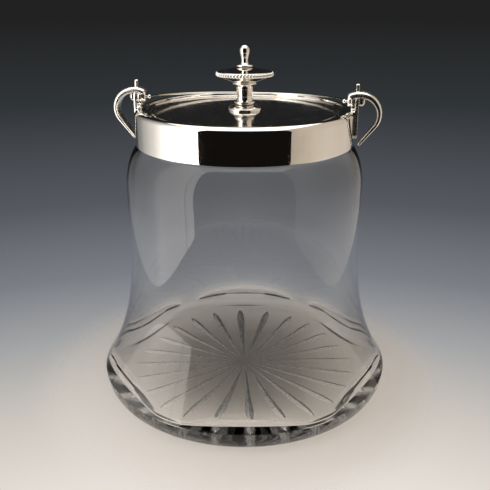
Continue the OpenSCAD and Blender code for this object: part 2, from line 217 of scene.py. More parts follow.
def hairlines(tree, scale, turn, thin):
    # long thin scratches: noise stretched far along one direction, kept only where it peaks
    streak = noise(tree, objectCoordinates(tree, scale, turn), 1.0, 2.0)
    return remap(tree, streak, thin, thin + 0.05, 0.0, 1.0)


def silverMaterial(name, finish):
    # polished plate: bright metal with soft smudges, hairline scratches, dust specks and faint dents
    material, tree, shader = newMaterial(name)
    place = objectCoordinates(tree)
    smudge = noise(tree, place, finish["smudgeScale"], 4.0)
    tarnish = remap(tree, noise(tree, place, finish["tarnishScale"], 5.0), 0.45, 0.75, 0.0, finish["tarnish"])
    color = mixColor(tree, tarnish, finish["clean"], finish["dull"])
    scratch = combine(tree, "MAXIMUM", *[
        hairlines(tree, scale, (0, 0, math.radians(turnDeg)), finish["scratchLimit"])
        for scale, turnDeg in finish["scratches"]])
    speck = addNode(tree, "ShaderNodeTexVoronoi", {"Vector": place, "Scale": finish["speckScale"],
                                                   "Randomness": 1.0}).outputs["Distance"]
    dust = combine(tree, "MULTIPLY",
                   remap(tree, speck, finish["speckSize"], finish["speckSize"] * 0.6, 0.0, 1.0),
                   remap(tree, noise(tree, place, 130.0), 0.52, 0.62, 0.0, 1.0))
    rough = combine(tree, "ADD",
                    remap(tree, smudge, 0.35, 0.75, finish["roughness"][0], finish["roughness"][1]),
                    combine(tree, "MULTIPLY", scratch, 0.12))
    tree.links.new(mixColor(tree, dust, color, finish["dustTone"]), shader.inputs["Base Color"])
    tree.links.new(rough, shader.inputs["Roughness"])
    tree.links.new(remap(tree, dust, 0.0, 1.0, 1.0, 0.25), shader.inputs["Metallic"])
    dents = addNode(tree, "ShaderNodeBump", {"Height": noise(tree, place, finish["dentScale"], 1.0),
                                             "Strength": finish["dent"], "Distance": 0.001})
    cuts = addNode(tree, "ShaderNodeBump", {"Height": scratch, "Strength": 0.06, "Distance": 0.0001,
                                            "Normal": dents.outputs["Normal"]}, invert=True)
    tree.links.new(cuts.outputs["Normal"], shader.inputs["Normal"])
    return material


silverFinish = {"clean": (0.93, 0.90, 0.85, 1), "dull": (0.66, 0.60, 0.50, 1), "tarnish": 0.25,
                "tarnishScale": 70.0, "smudgeScale": 120.0, "roughness": (0.03, 0.09),
                "scratches": (((90, 2600, 2600), 24), ((2300, 110, 2300), -31)), "scratchLimit": 0.70,
                "speckScale": 900.0, "speckSize": 0.10, "dustTone": (0.62, 0.60, 0.57, 1),
                "dentScale": 60.0, "dent": 0.03}
bandSilver = silverMaterial("bandSilver", silverFinish | {"roughness": (0.02, 0.06), "speckSize": 0.05})
lidSilver = silverMaterial("lidSilver", silverFinish | {
    "clean": (0.90, 0.86, 0.82, 1), "roughness": (0.05, 0.13), "speckScale": 420.0, "speckSize": 0.16,
    "scratchLimit": 0.66, "dent": 0.015})
knobSilver = silverMaterial("knobSilver", silverFinish | {
    "tarnish": 0.4, "tarnishScale": 260.0, "dent": 0.01})
lugSilver = silverMaterial("lugSilver", silverFinish | {
    "clean": (0.96, 0.93, 0.87, 1), "tarnish": 0.3, "tarnishScale": 300.0, "speckSize": 0.0,
    "roughness": (0.20, 0.32), "dent": 0.01})
wireSilver = silverMaterial("wireSilver", silverFinish | {"roughness": (0.08, 0.16), "speckSize": 0.0})
innerSilver = silverMaterial("innerSilver", silverFinish | {"roughness": (0.22, 0.36), "tarnish": 0.7})


def glassMaterial(name, finish):
    # clear glass, ground matt in the cuts of the star and a little worn round the foot, with a few faint
    # smears and a slight wave in its surface
    material, tree, shader = newMaterial(name)
    shader.inputs["Transmission Weight"].default_value = 1.0
    shader.inputs["IOR"].default_value = finish["ior"]
    shader.inputs["Base Color"].default_value = finish["tint"]
    place = objectCoordinates(tree)
    cut = addNode(tree, "ShaderNodeAttribute", attribute_name="cut").outputs["Fac"]
    grain = remap(tree, noise(tree, place, 900.0, 4.0), 0.3, 0.7, 0.35, 1.0)
    smear = remap(tree, noise(tree, objectCoordinates(tree, (1, 1, 0.35)), 45.0, 3.0), 0.58, 0.75, 0.0,
                  finish["smear"])
    rough = combine(tree, "ADD", smear, combine(tree, "MULTIPLY", combine(tree, "MULTIPLY", cut, grain),
                                                finish["cutRoughness"]))
    tree.links.new(rough, shader.inputs["Roughness"])
    wave = addNode(tree, "ShaderNodeBump", {"Height": noise(tree, place, 28.0, 1.0),
                                            "Strength": finish["wave"], "Distance": 0.001})
    tree.links.new(wave.outputs["Normal"], shader.inputs["Normal"])
    # lamps shine through the glass instead of casting a solid shadow, and the cut foot holds light back
    shadow = addNode(tree, "ShaderNodeLightPath").outputs["Is Shadow Ray"]
    under = addNode(tree, "ShaderNodeAttribute", attribute_name="under").outputs["Fac"]
    clear = addNode(tree, "ShaderNodeBsdfTransparent",
                    {"Color": mixColor(tree, under, finish["shade"], finish["underShade"])})
    mix = addNode(tree, "ShaderNodeMixShader", {0: shadow, 1: shader.outputs[0], 2: clear.outputs[0]})
    tree.links.new(mix.outputs[0], tree.nodes["Material Output"].inputs["Surface"])
    return material


clearGlass = glassMaterial("clearGlass", {
    "tint": (0.985, 0.985, 0.98, 1), "ior": 1.5, "smear": 0.02, "cutRoughness": 0.45, "wave": 0.12,
    "shade": (0.96, 0.955, 0.945, 1), "underShade": (0.20, 0.18, 0.165, 1)})


def plainMaterial(name, light, dark, roughness, metallic, scale):
    # dull brass or plaster: two tones mixed by noise, with a grain in the surface
    material, tree, shader = newMaterial(name)
    place = objectCoordinates(tree)
    blotch = remap(tree, noise(tree, place, scale, 5.0), 0.35, 0.7, 0.0, 1.0)
    tree.links.new(mixColor(tree, blotch, light, dark), shader.inputs["Base Color"])
    tree.links.new(remap(tree, blotch, 0.0, 1.0, roughness, roughness + 0.15), shader.inputs["Roughness"])
    shader.inputs["Metallic"].default_value = metallic
    grain = addNode(tree, "ShaderNodeBump", {"Height": noise(tree, place, scale * 6, 4.0), "Strength": 0.2,
                                             "Distance": 0.0002})
    tree.links.new(grain.outputs["Normal"], shader.inputs["Normal"])
    return material


plaster = plainMaterial("plaster", (0.78, 0.75, 0.68, 1), (0.62, 0.58, 0.50, 1), 0.75, 0.0, 300.0)
dullBrass = plainMaterial("dullBrass", (0.70, 0.55, 0.28, 1), (0.42, 0.33, 0.18, 1), 0.3, 1.0, 500.0)
print("materials made")

# glass jar: one closed surface from the middle of the foot, up the outside, over the ground
# rim and down the inside to the middle of the floor

glassBox = nodeBox("glass_jar")
jarSettings = {
    "bodyRadius": 58.2, "edgeHeight": 9.5, "footInset": 5.0, "flareTop": 90.0, "flarePower": 3.1,
    "shoulderStart": 106.0, "shoulderRise": 22.2, "neckRadius": 47.7, "wall": 3.2, "rimRound": 0.8,
    "floor": 6.0, "fillet": 4.0, "floorRipple": 0.12, "rippleLength": 4.2, "turn": 9.0,
    "flats": 6, "flatDepth": 6.3, "flatWave": 0.5, "flatFade": 3.0, "flatsSoft": 6.0, "flatsTop": 100.0,
    "flatsEase": 40.0, "chordBlend": 9, "rays": 24, "samplesPerRay": 16, "rayStart": 2.5, "rayEnd": 61.0,
    "rayWidth": 4.2, "rayDepth": 1.7, "rayTurn": 2.5, "rayBelly": 0.8, "evenOut": 5, "footRings": (66, 68),
    "footWear": 0.45, "underEdge": 68.0, "underFade": 34.0}


def flareRadius(z, s):
    # body radius plus the flare, which dies out as a power of the height left to its top
    left = np.clip(1 - (z - s["edgeHeight"]) / (s["flareTop"] - s["edgeHeight"]), 0, 1)
    return s["bodyRadius"] + (glassBox[1][0] - s["bodyRadius"]) * left ** s["flarePower"]


def innerRadius(z, angle, s):
    # the round inside wall less the depth of its flats, which is a deep part that fades as e^(-height / fade)
    # and a slight one that eases out at the top; across a flat it is a straight chord at the floor, rounded
    # off by log(1 + e^x), and a cosine wave higher up
    roundWall = flareRadius(z, s) - s["wall"]
    height = max(z - s["edgeHeight"], 0)
    left = min(max((s["flatsTop"] - z) / s["flatsEase"], 0), 1)
    depth = (s["flatDepth"] - s["flatWave"]) * math.exp(-height / s["flatFade"]) + s["flatWave"] * left
    span = 360 / s["flats"]
    offNormal = np.radians((angle - s["turn"] - span / 2) % span)
    offNormal = np.minimum(offNormal, math.radians(span) - offNormal)
    chord = (roundWall - (roundWall - s["flatDepth"]) / np.cos(offNormal)) / s["flatDepth"]
    chord = np.log1p(np.exp(chord * s["chordBlend"])) / s["chordBlend"]
    wave = 0.5 + 0.5 * np.cos(s["flats"] * offNormal)
    soft = min(height / s["flatsSoft"], 1)
    return roundWall - depth * (chord * (1 - soft) + wave * soft)


def starRow(radius, s):
    # angles and heights round the foot at one radius: inside a ray the columns crowd between its
    # edges, and the height falls in a V from the ray's middle line to its edges
    half = s["samplesPerRay"] // 2
    local = np.arange(-half, half) / half
    step = 360 / s["rays"]
    centre = -90 + s["turn"] + s["rayTurn"] + step * np.arange(s["rays"])
    t = np.clip((radius - s["rayStart"]) / (s["rayEnd"] - s["rayStart"]), 0, 1)
    # a ray widens and deepens evenly to its belly, then closes in a quarter of an ellipse
    belly = s["rayBelly"]
    leaf = t / belly if t < belly else math.sqrt(max(1 - ((t - belly) / (1 - belly)) ** 2, 0))
    halfWidth = max(math.degrees(leaf * s["rayWidth"] / 2 / max(radius, 1)), 0.2)
    inRay = np.abs(local) <= 0.5
    crowded = np.where(inRay, local * 2 * halfWidth,
                       np.sign(local) * (halfWidth + (np.abs(local) * 2 - 1) * (step / 2 - halfWidth)))
    even = local * step / 2
    share = np.clip((radius - s["rayEnd"]) / s["evenOut"], 0, 1)
    angle = (centre[:, None] + (crowded * (1 - share) + even * share)[None, :]).ravel()
    height = np.tile(leaf * s["rayDepth"] * np.clip(1 - np.abs(local) * 2, 0, 1), s["rays"])
    cut = np.tile(inRay * (leaf > 0.02) * 1.0, s["rays"])
    return angle, height, cut


def jarSurface(s):
    # rows of points: star-cut foot, outside profile, rim, inside wall with its flats, fillet and floor;
    # cuts marks the ground rays and the worn foot, and unders how much of the foot's shade a point gets
    angleEven = starRow(2 * s["rayEnd"], s)[0]  # the columns stand evenly this far out
    columns = len(angleEven)
    topRadius, neck, wall = glassBox[1][0], s["neckRadius"], s["wall"]
    footRadius = topRadius - s["footInset"]
    rimHeight = glassBox[1][2]
    rows, cuts, unders = [], [], []

    def addRing(radius, height, angle=angleEven, cut=None, under=0.0):
        a = np.radians(angle)
        rows.append(np.stack([radius * np.cos(a), radius * np.sin(a), height + 0 * a], -1))
        cuts.append(np.zeros(columns) if cut is None else cut)
        unders.append(np.full(columns, under))

    for radius in np.concatenate([[0.001, 1.4], np.linspace(s["rayStart"], s["rayEnd"], 46),
                                  s["footRings"], [footRadius]]):
        angle, height, cut = starRow(radius, s)
        cut = cut if radius < s["rayEnd"] else np.full(columns, s["footWear"])
        addRing(radius, height, angle, cut, min(max((s["underEdge"] - radius) / s["underFade"], 0), 1))
    outside = np.vstack([
        arcPoints((footRadius, s["edgeHeight"]), (s["footInset"], s["edgeHeight"]), -80, 0, 12),
        np.stack([flareRadius(z := np.linspace(s["edgeHeight"], s["flareTop"], 44)[1:], s), z], 1),
        linePoints((s["bodyRadius"], s["flareTop"]), (s["bodyRadius"], s["shoulderStart"]), 4)[1:],
        arcPoints((neck, s["shoulderStart"]), (s["bodyRadius"] - neck, s["shoulderRise"]), 0, 86, 22)[1:],
        linePoints((neck, s["shoulderStart"] + s["shoulderRise"] + 1), (neck, rimHeight - s["rimRound"]), 4),
        arcPoints((neck - s["rimRound"], rimHeight - s["rimRound"]), (s["rimRound"],) * 2, 0, 90, 5)[1:]])
    for radius, height in outside:
        addRing(radius, height)
    inNeck = neck - wall
    inside = np.vstack([
        arcPoints((inNeck + s["rimRound"], rimHeight - s["rimRound"]), (s["rimRound"],) * 2, 90, 180, 5),
        linePoints((inNeck, rimHeight - 2), (inNeck, s["shoulderStart"] + s["shoulderRise"] + 1), 3),
        arcPoints((inNeck, s["shoulderStart"]), (s["bodyRadius"] - neck, s["shoulderRise"]), 86, 0, 18)])
    for radius, height in inside:
        addRing(radius, height)
    filletTop = s["floor"] + s["fillet"]
    for z in np.linspace(s["shoulderStart"], filletTop, 42)[1:]:
        addRing(innerRadius(z, angleEven, s), z)
    edge = innerRadius(filletTop, angleEven, s)
    for a in np.radians(np.linspace(0, 90, 13)[1:]):
        addRing(edge - s["fillet"] * (1 - math.cos(a)), filletTop - s["fillet"] * math.sin(a))
    floorEdge = edge - s["fillet"]
    lift = rows[-1][:, 2].copy()
    for share in np.concatenate([np.linspace(1, 0.03, 34)[1:], [0.0005]]):
        radius = floorEdge * share
        a = np.radians(angleEven)
        # faint rings in the floor that die out at the wall and in the middle
        ripple = (s["floorRipple"] * np.sin(radius / s["rippleLength"] + 2 * np.sin(3 * a))
                  * share * (1 - share) * 4)
        addRing(radius, lift + ripple)
    return np.array(rows), np.array(cuts), np.array(unders)


jarPoints, jarCuts, jarUnders = jarSurface(jarSettings)
glassJar = makePiece("glassJar", [gridFaces(jarPoints, poles=(True, True))], "jar", ["glass_jar"],
                     clearGlass, sharpDeg=28,
                     attributes={"cut": jarCuts.ravel(), "under": jarUnders.ravel()})
print("glass jar made:", len(glassJar.data.polygons), "faces")

# collar: spun band with a rolled top and a dished rim round the lid, and the sleeve inside it

bandBox, ledgeBox, lidBox = nodeBox("collar_band"), nodeBox("collar_sleeve"), nodeBox("lid_plate")
collarSettings = {"sheet": 0.8, "shoulder": (3.0, 2.6), "rimRound": 0.4, "cornerRound": 0.25,
                  "dishFall": 1.3, "dishWidth": 7.6, "stepRound": 0.2, "stepDepth": 1.1, "backReach": 3.3,
                  "lipRound": 0.35, "sleeveRadius": 42.5, "columns": 320}


def collarProfile(s):
    # round the sheet's section: up the outside, over the rim, across the flat, down the step, and back;
    # rows close beside the small rounds keep the flats flat
    outer, low, top = bandBox[1][0], bandBox[0][2], bandBox[1][2]
    step, dish = outer - s["dishWidth"], top - s["dishFall"]
    ledge, sheet, lip, shoulder = dish - s["stepDepth"], s["sheet"], s["lipRound"], s["shoulder"]
    edge, corner, fold = s["rimRound"], s["cornerRound"], s["stepRound"]
    rim = outer - shoulder[0] - 2 * edge
    return np.vstack([
        arcPoints((outer - lip, low + lip), (lip, lip), -90, 0, 7),
        linePoints((outer, low + lip), (outer, top - shoulder[1]), 12)[1:-1],
        arcPoints((outer - shoulder[0], top - shoulder[1]), shoulder, 0, 90, 22),
        arcPoints((rim + edge, top - edge), (edge, edge), 95, 175, 7),
        arcPoints((rim - corner, dish + corner), (corner, corner), -5, -90, 6),
        linePoints((rim - 0.4, dish), (step + 0.35, dish), 6),
        arcPoints((step + fold, dish - fold), (fold, fold), 90, 180, 8),
        linePoints((step, dish - 0.6), (step, ledge - sheet), 4)[1:],
        linePoints((step + sheet, ledge - sheet), (step + sheet, dish - sheet), 4),
        linePoints((step + sheet + 0.5, dish - sheet), (outer - s["backReach"], dish - sheet + 0.2), 5),
        arcPoints((outer - shoulder[0], top - shoulder[1]), (shoulder[0] - sheet, shoulder[1] - sheet),
                  80, 0, 9),
        linePoints((outer - sheet, top - shoulder[1] - 0.5), (outer - sheet, low + lip), 6)])


bandSurface = turned(collarProfile(collarSettings), collarSettings["columns"])
makePiece("collarBand", [gridFaces(bandSurface, wrapRows=True)], "jar", ["collar_band"],
          bandSilver)


def sleeveProfile(inner, low, top, sheet, flange):
    # a thin tube, with a ledge at its top that reaches out to the flange's radius
    return np.array([(inner, low), (inner + sheet, low), (inner + sheet, top - sheet),
                     (flange, top - sheet), (flange, top), (inner, top)])


collarSleeveProfile = sleeveProfile(collarSettings["sleeveRadius"], ledgeBox[0][2], ledgeBox[1][2],
                                    collarSettings["sheet"], bandBox[1][0] - collarSettings["dishWidth"])
makePiece("collarSleeve", [gridFaces(turned(collarSleeveProfile), wrapRows=True)], "jar", ["collar_sleeve"],
          innerSilver, sharpDeg=20)

# lid: flat plate, and the short tube under it that centres it in the collar

lidSettings = {"edgeRound": 0.25, "sheet": 0.8, "crown": 0.08, "columns": 256}
lidRadius, lidLow, lidTop = lidBox[1][0], lidBox[0][2], lidBox[1][2] + lidSettings["crown"]


def lidProfile(s):
    # flat plate with a softened edge, half an ellipse, closed at the axis; a row close beside the edge
    # keeps the top flat
    half, flat = (lidTop - lidLow) / 2, lidRadius - s["edgeRound"]
    return np.vstack([linePoints((0, lidLow), (flat, lidLow), 8),
                      arcPoints((flat, lidLow + half), (s["edgeRound"], half), -90, 90, 13)[1:],
                      linePoints((flat - 0.15, lidTop), (0, lidTop), 10)])


lidSurface = turned(lidProfile(lidSettings), lidSettings["columns"])
makePiece("lidPlate", [gridFaces(lidSurface, poles=(True, True))], "lid", ["lid_plate"],
          lidSilver)
lidSleeveBox = nodeBox("lid_sleeve")
outer, sheet = lidSleeveBox[1][0], lidSettings["sheet"]
lidSleeveLoop = np.array([(outer - sheet, lidSleeveBox[0][2]), (outer, lidSleeveBox[0][2]),
                          (outer, lidSleeveBox[1][2]), (outer - sheet, lidSleeveBox[1][2])])
makePiece("lidSleeve", [gridFaces(turned(lidSleeveLoop), wrapRows=True)], "lid", ["lid_sleeve"],
          innerSilver, sharpDeg=20)
print("collar and lid made")

# knob: foot, stem, beaded disc and finial, turned

knobSettings = {"columns": 96, "stemRadius": 3.5, "socket": 0.65, "flange": 2.4, "footBulge": 4.2,
                "ball": 2.45}


def closedProfile(points):
    # a turned piece's outline, begun and ended on the axis
    points = np.array(points)
    return np.vstack([[(0, points[0, 1])], points, [(0, points[-1, 1])]])


def knobPiece(name, node, points, sharp=32):
    # a turned piece of the knob, ridden on the lid
    surface = turned(closedProfile(points), knobSettings["columns"])
    part = gridFaces(surface, poles=(True, True))
    makePiece(name, [part], "lid", [node], knobSilver, sharp)


footBox, stemBox, discBox = nodeBox("knob_foot"), nodeBox("knob_stem"), nodeBox("knob_disc")
finialBox, beadBox = nodeBox("knob_finial"), nodeBox("knob_beading")
stemRadius, bulge, ball = knobSettings["stemRadius"], knobSettings["footBulge"], knobSettings["ball"]
socketRadius, flange = stemRadius + knobSettings["socket"], stemRadius + knobSettings["flange"]

low, top, radius = footBox[0][2], footBox[1][2], footBox[1][0]
knobPiece("knobFoot", "knob_foot", np.vstack([
    [(radius - 0.6, low)], arcPoints((radius - bulge, low + 0.45), (bulge, top - low - 0.7), -8, 84, 24),
    [(stemRadius + 0.2, top - 0.2), (stemRadius, top)]]))

low, top, ring = stemBox[0][2], stemBox[1][2], stemBox[1][0]
knobPiece("knobStem", "knob_stem", np.vstack([
    [(ring - 0.7, low)], arcPoints((ring - 0.75, low + 0.8), (0.75, 0.8), -75, 75, 9),
    curvePoints([(ring - 0.75, low + 1.6), (stemRadius + 0.25, low + 2.4), (stemRadius, low + 3.6),
                 (stemRadius + 0.2, low + 5.0), (stemRadius + 0.35, top - 0.9)], 18),
    linePoints((socketRadius, top - 0.6), (socketRadius, top), 3)]))

low, top, discRadius = discBox[0][2], discBox[1][2], discBox[1][0]
beadHeight = (beadBox[0][2] + beadBox[1][2]) / 2
knobPiece("knobDisc", "knob_disc", np.vstack([
    [(socketRadius, low)], linePoints((socketRadius, low + 0.3), (flange - 0.6, low + 1.3), 4),
    arcPoints((flange - 0.5, low + 1.8), (0.5, 0.5), -60, 80, 8),
    curvePoints([(flange - 0.7, low + 2.5), (flange + 0.9, low + 2.9), (flange + 3.9, low + 4.0),
                 (discRadius - 0.9, beadHeight - 1.0), (discRadius - 0.1, beadHeight - 0.4)], 20),
    arcPoints((discRadius - 0.45, beadHeight + 0.55), (0.45, 0.55), -30, 90, 8),
    linePoints((discRadius - 0.9, beadHeight + 1.0), (2.6, top), 14)]))

beadSettings = {"count": 54, "perBead": 10, "around": 14, "height": 0.95, "depth": 0.72, "neck": 0.22,
                "drop": 0.1}


def beadRing(s):
    # a rounded section carried round the rim, swelling and pinching once for each bead: its size is
    # the root of (1 - x^2) across a bead, never less than the neck between two beads
    columns = s["count"] * s["perBead"]
    phase = (np.arange(columns) / s["perBead"]) % 1 * 2 - 1
    swell = np.maximum(np.sqrt(np.clip(1 - phase**2, 0, 1)), s["neck"])
    t = np.radians(np.arange(columns) * 360 / columns)
    v = np.radians(np.arange(s["around"]) * 360 / s["around"])[:, None]
    middle = beadBox[1][0] - s["depth"]
    r = middle + s["depth"] * swell * np.cos(v)
    z = beadHeight - s["drop"] + s["height"] * swell * np.sin(v)
    return np.stack([r * np.cos(t), r * np.sin(t), z], -1)


makePiece("knobBeading", [gridFaces(beadRing(beadSettings), wrapRows=True)], "lid", ["knob_beading"],
          knobSilver, sharpDeg=70)

low, top, radius = finialBox[0][2], finialBox[1][2], finialBox[1][0]
ballHeight = top - ball
knobPiece("knobFinial", "knob_finial", np.vstack([
    [(radius - 0.7, low)], arcPoints((radius - 0.55, low + 0.55), (0.55, 0.55), -80, 80, 11),
    curvePoints([(2.3, low + 1.15), (2.0, low + 1.5), (1.62, low + 2.4), (1.68, low + 3.6), (1.95, low + 4.9),
                 (2.3, low + 6.3), (ball - 0.02, ballHeight - 0.3)], 30),
    arcPoints((0, ballHeight), (ball, ball), 4, 89, 16)]), sharp=45)
print("knob made")

# lugs, worked out for the right side and mirrored for the left

lugSettings = {"pivotHeight": 147.0, "plateWidth": 8.0, "plateRound": 0.28, "plateShoulder": 4.7,
               "spikeHalf": 0.75, "spikeRound": 1.2, "scrollRadius": 8.9, "scrollRise": 3.1,
               "scrollWidth": 7.0, "tailShare": 1 / 3.4, "tailBelow": 10, "scrollHead": 1.9,
               "scrollTail": 0.75, "taper": 1.1, "tailLean": 38.0, "scrollIn": 48.8, "headInset": 0.7,
               "headLow": 1.2, "bendOut": 0.9, "endRound": 0.02, "sectionPower": 0.7, "eyeWidth": 6.4,
               "bossRadius": 2.5, "bossEdge": 0.2, "bossColumns": 40}
plateBox, eyeBox = nodeBox("lug_plate_right"), nodeBox("lug_eye_right")


def slabPart(outline, inner, outer, edge):
    # an outline (y, z) given thickness along x: rings from the inner face to the outer face, drawn in
    # towards the outline's middle at both edges so that they look rounded
    following = np.roll(outline, -1, 0) - np.roll(outline, 1, 0)
    normal = np.stack([following[:, 1], -following[:, 0]], 1)
    normal /= np.linalg.norm(normal, axis=1)[:, None]
    rings = []
    for x, inset in ((inner, edge), (inner + edge * 0.3, edge * 0.3), (inner + edge, 0),
                     (outer - edge, 0), (outer - edge * 0.3, edge * 0.3), (outer, edge)):
        p = outline - normal * inset
        rings.append(np.stack([np.full(len(p), x), p[:, 0], p[:, 1]], 1))
    return np.array(rings)


def plateOutline(s):
    # round foot, straight sides and a shoulder that runs into a narrow rounded spike
    pivot, half = s["pivotHeight"], s["plateWidth"] / 2
    low, tip = plateBox[0][2], plateBox[1][2]
    foot = arcPoints((0, low + half), (half, half), -178, -2, 28)
    side = linePoints((half, low + half), (half, pivot - 0.5), 10)
    shoulder = arcPoints((0, pivot - 0.5), (half, s["plateShoulder"]), 2, 72, 12)
    spikeTop, spikeHalf = tip - s["spikeRound"], s["spikeHalf"]
    spike = curvePoints([(1.15, pivot + 4.5), (0.9, pivot + 5.6), (spikeHalf, spikeTop)], 7)
    point = arcPoints((0, spikeTop), (spikeHalf, s["spikeRound"]), 10, 90, 8)
    right = np.vstack([foot[14:], side, shoulder, spike, point])
    left = right[::-1] * np.array([-1, 1])
    return np.vstack([right, left[1:]])


def scrollLine(s, count=90):
    # over the eye, round the outer bend and straight down to the plate's foot, at even spacing
    pivot, plateOut, r = s["pivotHeight"], plateBox[1][0], s["scrollRadius"]
    crown, lean, headLow = pivot + s["scrollRise"], math.radians(s["tailLean"]), s["headLow"]
    headX, bendX = s["scrollIn"] + s["headInset"], plateOut + s["bendOut"]
    tail = (bendX + r * math.cos(lean) - plateOut - s["scrollTail"]) / math.sin(lean)
    end = np.array([bendX + r * math.cos(lean), crown - r - r * math.sin(lean)])
    line = np.vstack([
        arcPoints((bendX, pivot + headLow), (bendX - headX, crown - pivot - headLow), 172, 92, 20),
        arcPoints((bendX, crown - r), (r, r), 90, -s["tailLean"], 50),
        linePoints(end, end - tail * np.array([math.sin(lean), math.cos(lean)]), 16)[1:]])
    along = np.concatenate([[0], np.cumsum(np.linalg.norm(np.diff(line, axis=0), axis=1))])
    even = np.linspace(0, along[-1], count)
    return np.stack([np.interp(even, along, line[:, 0]), np.interp(even, along, line[:, 1])], 1)


def scrollSurface(s):
    # a rounded strap section carried along the scroll's line: half its thickness tapers from head to
    # tail as (1 - t)^taper, its width follows the height, wide at the crown and narrow at the tail, and
    # both ends close in a quarter circle
    line = scrollLine(s)
    tangent = np.gradient(line, axis=0)
    tangent /= np.linalg.norm(tangent, axis=1)[:, None]
    side = np.stack([-tangent[:, 1], tangent[:, 0]], 1)
    t = np.linspace(0, 1, len(line))
    thick = s["scrollTail"] + (s["scrollHead"] - s["scrollTail"]) * (1 - t) ** s["taper"]
    crownLow = s["pivotHeight"] + s["scrollRise"] - s["scrollRadius"]
    foot = plateBox[0][2] - s["tailBelow"]
    narrow = np.clip((crownLow - line[:, 1]) / (crownLow - foot), 0, 1)
    wide = s["scrollWidth"] * (0.5 + (s["tailShare"] - 0.5) * narrow)
    toEnd = np.minimum(t, 1 - t)
    ends = np.sqrt(np.clip(1 - (1 - toEnd / s["endRound"]) ** 2, 0.02, 1))
    ends = np.where(toEnd > s["endRound"], 1, ends)
    a = np.radians(np.arange(36) * 10)
    across = np.sign(np.cos(a)) * np.abs(np.cos(a)) ** s["sectionPower"]
    out = np.sign(np.sin(a)) * np.abs(np.sin(a)) ** s["sectionPower"]
    offset = (thick * ends)[:, None] * out[None, :]
    x = line[:, :1] + side[:, :1] * offset
    z = line[:, 1:] + side[:, 1:] * offset
    y = (wide * (0.6 + 0.4 * ends))[:, None] * across[None, :]
    return np.stack([x, y, z], -1)


def eyeOutline(s):
    # a round eye on a waisted foot that stands on the collar's dish
    pivot, half = s["pivotHeight"], s["eyeWidth"] / 2
    base, reach = eyeBox[0][2], eyeBox[1][1]
    ring = arcPoints((0, pivot), (half, half), -35, 90, 22)
    waist = curvePoints([(reach, base), (reach - 0.1, base + 0.8), (half * 0.82, base + 2.0), ring[0]],
                        12)[:-1]
    right = np.vstack([waist, ring])
    left = right[::-1] * np.array([-1, 1])
    return np.vstack([right, left[1:], linePoints((-reach, base), (reach, base), 6)[1:-1]])


def bossPart(s):
    # short round boss between the scroll's inner end and the eye
    columns, radius, edge = s["bossColumns"], s["bossRadius"], s["bossEdge"]
    a = np.radians(np.arange(columns) * 360 / columns)
    rows = [(s["scrollIn"], radius - edge), (s["scrollIn"] + edge, radius), (eyeBox[0][0] + 0.05, radius)]
    return np.array([np.stack([np.full(columns, x), r * np.cos(a), s["pivotHeight"] + r * np.sin(a)], 1)
                     for x, r in rows])


for sideName, place in (("right", lambda p: p), ("left", mirrored)):
    title = sideName.capitalize()
    plate = slabPart(plateOutline(lugSettings), plateBox[0][0], plateBox[1][0], lugSettings["plateRound"])
    makePiece("lugPlate" + title, [gridFaces(place(plate), caps=True)], "jar", ["lug_plate_" + sideName],
              lugSilver)
    eye = slabPart(eyeOutline(lugSettings), eyeBox[0][0], eyeBox[1][0], lugSettings["plateRound"])
    makePiece("lugEye" + title, [gridFaces(place(eye), caps=True)], "jar", ["lug_eye_" + sideName],
              lugSilver)
    scrollParts = [gridFaces(place(scrollSurface(lugSettings)), caps=True),
                   gridFaces(place(bossPart(lugSettings)), caps=True)]
    makePiece("lugScroll" + title, scrollParts, "jar", ["lug_scroll_" + sideName], lugSilver,
              sharpDeg=50)
print("lugs made")

# folding handle: wire bow with its balls and pins, and the rivet heads on the pins

rivetBox = nodeBox("rivet_head_right")
handleSettings = {"wire": 0.52, "ball": 0.95, "pivotHeight": lugSettings["pivotHeight"],
                  "bowRadius": 47.2, "restHeight": 143.1, "bowRows": 120, "ballRows": 25, "columns": 24,
                  "headColumns": 40}


def tubeRows(line, tangent, radius, columns):
    # circles of the wire's radius square to the line: centre + r (cos a * side + sin a * up)
    up = np.cross(np.broadcast_to([0.0, 0.0, 1.0], tangent.shape), tangent)
    up = np.where(np.linalg.norm(up, axis=1)[:, None] < 1e-6, [0.0, 1.0, 0.0], up)
    up /= np.linalg.norm(up, axis=1)[:, None]
    side = np.cross(tangent, up)
    a = np.radians(np.arange(columns) * 360 / columns)
    r = np.broadcast_to(np.asarray(radius, float), (len(line),))[:, None, None]
    circle = np.cos(a)[None, :, None] * side[:, None, :] + np.sin(a)[None, :, None] * up[:, None, :]
    return line[:, None, :] + r * circle


def bowParts(s):
    # half a ring of wire, a ball at each end and a pin that runs outwards from each ball
    fold = math.asin((s["pivotHeight"] - s["restHeight"]) / s["bowRadius"])
    t = np.linspace(0, math.pi, s["bowRows"])
    line = s["bowRadius"] * np.stack([np.cos(t), np.sin(t) * math.cos(fold), -np.sin(t) * math.sin(fold)], 1)
    tangent = np.stack([-np.sin(t), np.cos(t) * math.cos(fold), -np.cos(t) * math.sin(fold)], 1)
    line[:, 2] += s["pivotHeight"]
    parts = [gridFaces(tubeRows(line, tangent, s["wire"], s["columns"]), caps=True)]
    ballAngle = np.radians(np.linspace(1, 179, s["ballRows"]))
    x, r = np.cos(ballAngle) * s["ball"], np.sin(ballAngle) * s["ball"]
    pinX = np.array([s["bowRadius"], s["bowRadius"] + 2, rivetBox[0][0] - 0.1, rivetBox[0][0] + 0.2])
    for flip in (1, -1):
        for along, size in ((x + s["bowRadius"], r), (pinX, np.full(len(pinX), s["wire"]))):
            line = np.stack([along * flip, 0 * along, 0 * along + s["pivotHeight"]], 1)
            outward = np.tile([1.0, 0, 0], (len(along), 1))
            parts.append(gridFaces(tubeRows(line, outward, size, s["columns"]), caps=True))
    return parts


